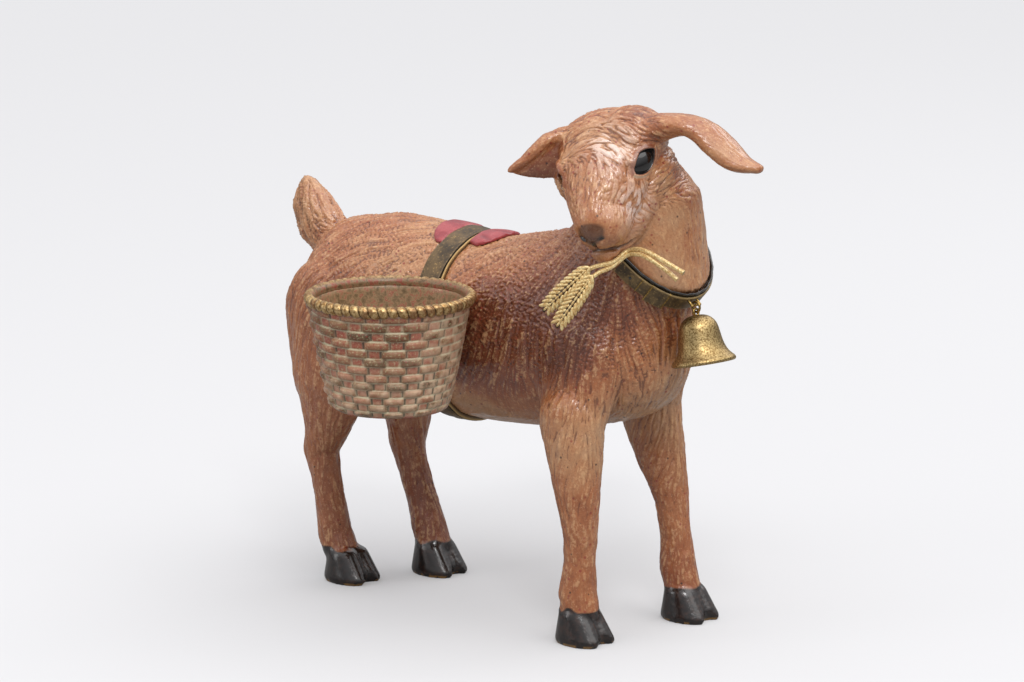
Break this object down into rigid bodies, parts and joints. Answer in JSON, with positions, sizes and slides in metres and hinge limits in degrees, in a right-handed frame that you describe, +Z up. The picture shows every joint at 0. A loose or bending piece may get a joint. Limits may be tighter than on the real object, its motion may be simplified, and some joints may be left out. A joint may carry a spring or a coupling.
{
  "type": "goat figure with panniers and bell",
  "caption": "Young goat figure standing with its head turned, woven panniers on a girth strap, a grain sprig in its mouth and a swinging bell on its collar.",
  "frame": {"origin": "on the floor under the middle of the bounding box", "axes": "+X towards the chest, +Y towards the goat's left side, +Z up"},
  "size_m": [0.2729, 0.2212, 0.2377],
  "materials": {
    "coat": "cast resin, hand-painted tan coat under satin varnish",
    "eye": "black gloss enamel",
    "steel": "plain steel wire",
    "dowel": "plain turned dowel",
    "pad": "cast resin, dusky red paint",
    "strap": "strap painted olive bronze with gold edges",
    "lining": "glossy black strap lining",
    "basket": "cast resin weave, terracotta and cream paint",
    "rope": "cast resin rope, gold paint",
    "grain": "cast resin grain sprig, straw gold paint",
    "brass": "antique satin brass"
  },
  "bodies": {
    "goat": {"torso": "coat", "head": "coat", "left_ear": "coat", "right_ear": "coat", "eyes": "eye", "tail": "coat", "front_right_leg": "coat", "front_left_leg": "coat", "rear_right_leg": "coat", "rear_left_leg": "coat", "leg_rods": "steel", "neck_dowel": "dowel", "saddle_pad": "pad", "girth_strap": "strap", "right_basket": "basket", "right_basket_rim": "rope", "left_basket": "basket", "left_basket_rim": "rope", "basket_pins": "steel", "wheat_stems": "grain", "wheat_ears": "grain", "collar_strap": "strap", "collar_lining": "lining", "collar_keeper": "brass", "buckle_frame": "brass", "buckle_tongue": "brass", "bell_staple": "brass"},
    "ring": {"bell_ring": "brass"},
    "bell": {"bell_shell": "brass", "bell_hanger": "brass", "clapper_pin": "steel"},
    "clapper": {"clapper": "brass"}
  },
  "joints": [
    {"name": "ring_swing", "type": "hinge", "parent": "goat", "child": "ring", "pos_m": [0.1041, -0.00245, 0.15278], "axis": [-0.1045, -0.9945, 0], "range_deg": [0, 65]},
    {"name": "bell_roll", "type": "hinge", "parent": "ring", "child": "bell", "pos_m": [0.1041, -0.00245, 0.14968], "axis": [0.969, -0.1018, 0.225], "range_deg": [-18, 18]},
    {"name": "clapper_swing", "type": "hinge", "parent": "bell", "child": "clapper", "pos_m": [0.1054, -0.00259, 0.14402], "axis": [0.1045, 0.9945, 0], "range_deg": [-35, 16]}
  ]
}
